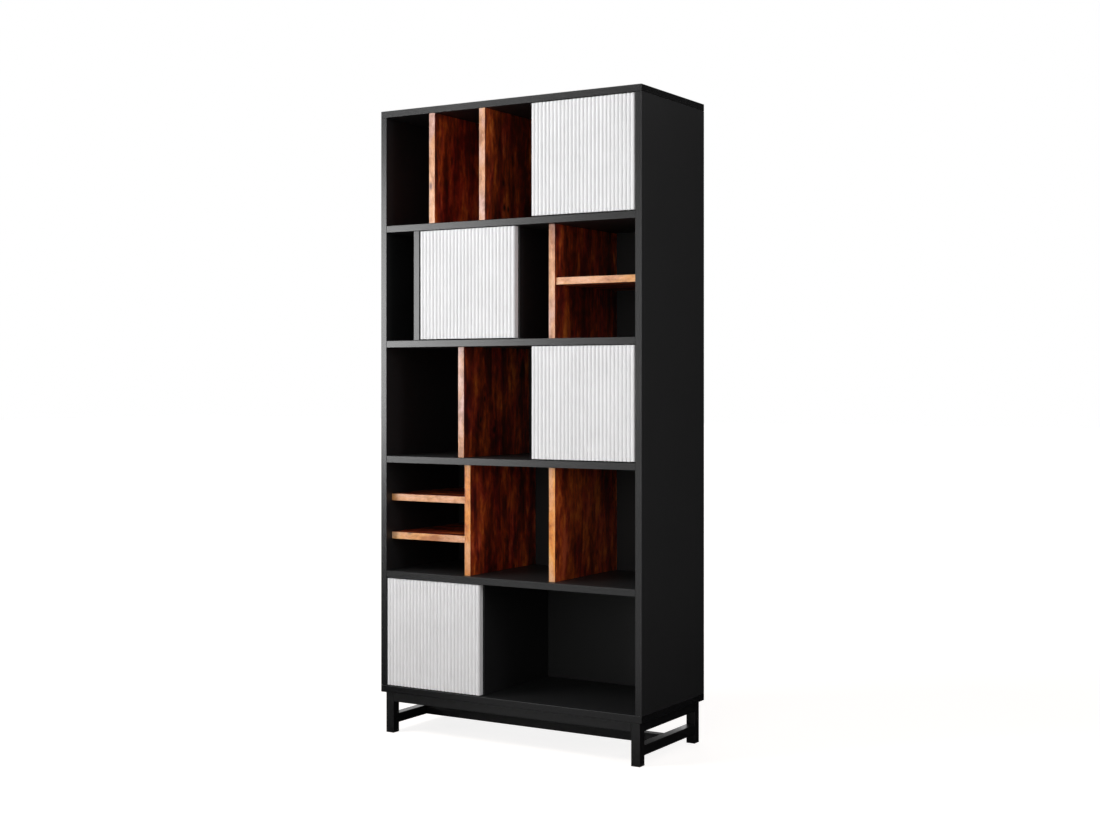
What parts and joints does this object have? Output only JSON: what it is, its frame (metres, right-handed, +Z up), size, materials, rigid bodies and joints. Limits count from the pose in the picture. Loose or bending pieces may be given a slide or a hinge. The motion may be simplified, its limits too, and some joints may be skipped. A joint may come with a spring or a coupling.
{
  "type": "bookcase with doors",
  "caption": "Tall open bookcase of black boards with wood dividers, small wood shelves, white reeded pivot doors with push latches, on a black square-tube base.",
  "frame": {"origin": "on the floor under the middle of the bookcase", "axes": "+Z up, front and doors face -Y, +X to the right seen from the front"},
  "size_m": [0.8, 0.35, 1.683],
  "materials": {
    "black_board": "satin black melamine on particle board",
    "wood_veneer": "satin red-brown wood grain",
    "white_paint": "satin white paint on reeded fibreboard",
    "plated_steel": "zinc plated",
    "nylon": "natural nylon",
    "latch_plastic": "dark grey moulded",
    "plunger_plastic": "grey moulded",
    "steel_tube": "black powder coat",
    "foot_plastic": "black moulded"
  },
  "bodies": {
    "root": {"top_panel": "black_board", "bottom_panel": "black_board", "left_side_panel": "black_board", "right_side_panel": "black_board", "shelf_1": "black_board", "shelf_2": "black_board", "shelf_3": "black_board", "shelf_4": "black_board", "back_panel": "black_board", "row2_hinge_divider": "black_board", "row1_latch_divider": "black_board", "row2_latch_divider": "black_board", "row3_latch_divider": "black_board", "row5_latch_divider": "black_board", "row1_wood_divider_left": "wood_veneer", "row1_wood_divider_right": "wood_veneer", "row2_wood_divider": "wood_veneer", "row2_small_shelf": "wood_veneer", "row3_wood_divider": "wood_veneer", "row4_wood_divider_left": "wood_veneer", "row4_wood_divider_right": "wood_veneer", "row4_small_shelf_lower": "wood_veneer", "row4_small_shelf_upper": "wood_veneer", "left_base_frame": "steel_tube", "right_base_frame": "steel_tube", "front_rail": "steel_tube", "rear_rail": "steel_tube", "centre_stretcher": "steel_tube", "front_left_foot": "foot_plastic", "front_right_foot": "foot_plastic", "rear_left_foot": "foot_plastic", "rear_right_foot": "foot_plastic", "row1_upper_bush": "nylon", "row1_lower_bush": "nylon", "row1_latch_body": "latch_plastic", "row2_upper_bush": "nylon", "row2_lower_bush": "nylon", "row2_latch_body": "latch_plastic", "row3_upper_bush": "nylon", "row3_lower_bush": "nylon", "row3_latch_body": "latch_plastic", "row5_upper_bush": "nylon", "row5_lower_bush": "nylon", "row5_latch_body": "latch_plastic"},
    "row1_door": {"row1_door": "white_paint", "row1_upper_pivot": "plated_steel", "row1_lower_pivot": "plated_steel"},
    "row1_plunger": {"row1_latch_plunger": "plunger_plastic"},
    "row2_door": {"row2_door": "white_paint", "row2_upper_pivot": "plated_steel", "row2_lower_pivot": "plated_steel"},
    "row2_plunger": {"row2_latch_plunger": "plunger_plastic"},
    "row3_door": {"row3_door": "white_paint", "row3_upper_pivot": "plated_steel", "row3_lower_pivot": "plated_steel"},
    "row3_plunger": {"row3_latch_plunger": "plunger_plastic"},
    "row5_door": {"row5_door": "white_paint", "row5_upper_pivot": "plated_steel", "row5_lower_pivot": "plated_steel"},
    "row5_plunger": {"row5_latch_plunger": "plunger_plastic"}
  },
  "joints": [
    {"name": "row1_door_hinge", "type": "hinge", "parent": "root", "child": "row1_door", "pos_m": [0.36194, -0.1645, 1.5185], "axis": [0, 0, 1], "range_deg": [0, 105]},
    {"name": "row1_latch_push", "type": "slide", "parent": "root", "child": "row1_plunger", "axis": [0, 1, 0], "range_m": [0, 0.003], "stiffness_N_per_m": 400, "springref_m": -0.002},
    {"name": "row2_door_hinge", "type": "hinge", "parent": "root", "child": "row2_door", "pos_m": [-0.25244, -0.1645, 1.2075], "axis": [0, 0, -1], "range_deg": [0, 105]},
    {"name": "row2_latch_push", "type": "slide", "parent": "root", "child": "row2_plunger", "axis": [0, 1, 0], "range_m": [0, 0.003], "stiffness_N_per_m": 400, "springref_m": -0.002},
    {"name": "row3_door_hinge", "type": "hinge", "parent": "root", "child": "row3_door", "pos_m": [0.36194, -0.1645, 0.8965], "axis": [0, 0, 1], "range_deg": [0, 105]},
    {"name": "row3_latch_push", "type": "slide", "parent": "root", "child": "row3_plunger", "axis": [0, 1, 0], "range_m": [0, 0.003], "stiffness_N_per_m": 400, "springref_m": -0.002},
    {"name": "row5_door_hinge", "type": "hinge", "parent": "root", "child": "row5_door", "pos_m": [-0.36194, -0.1645, 0.2745], "axis": [0, 0, -1], "range_deg": [0, 105]},
    {"name": "row5_latch_push", "type": "slide", "parent": "root", "child": "row5_plunger", "axis": [0, 1, 0], "range_m": [0, 0.003], "stiffness_N_per_m": 400, "springref_m": -0.002}
  ]
}
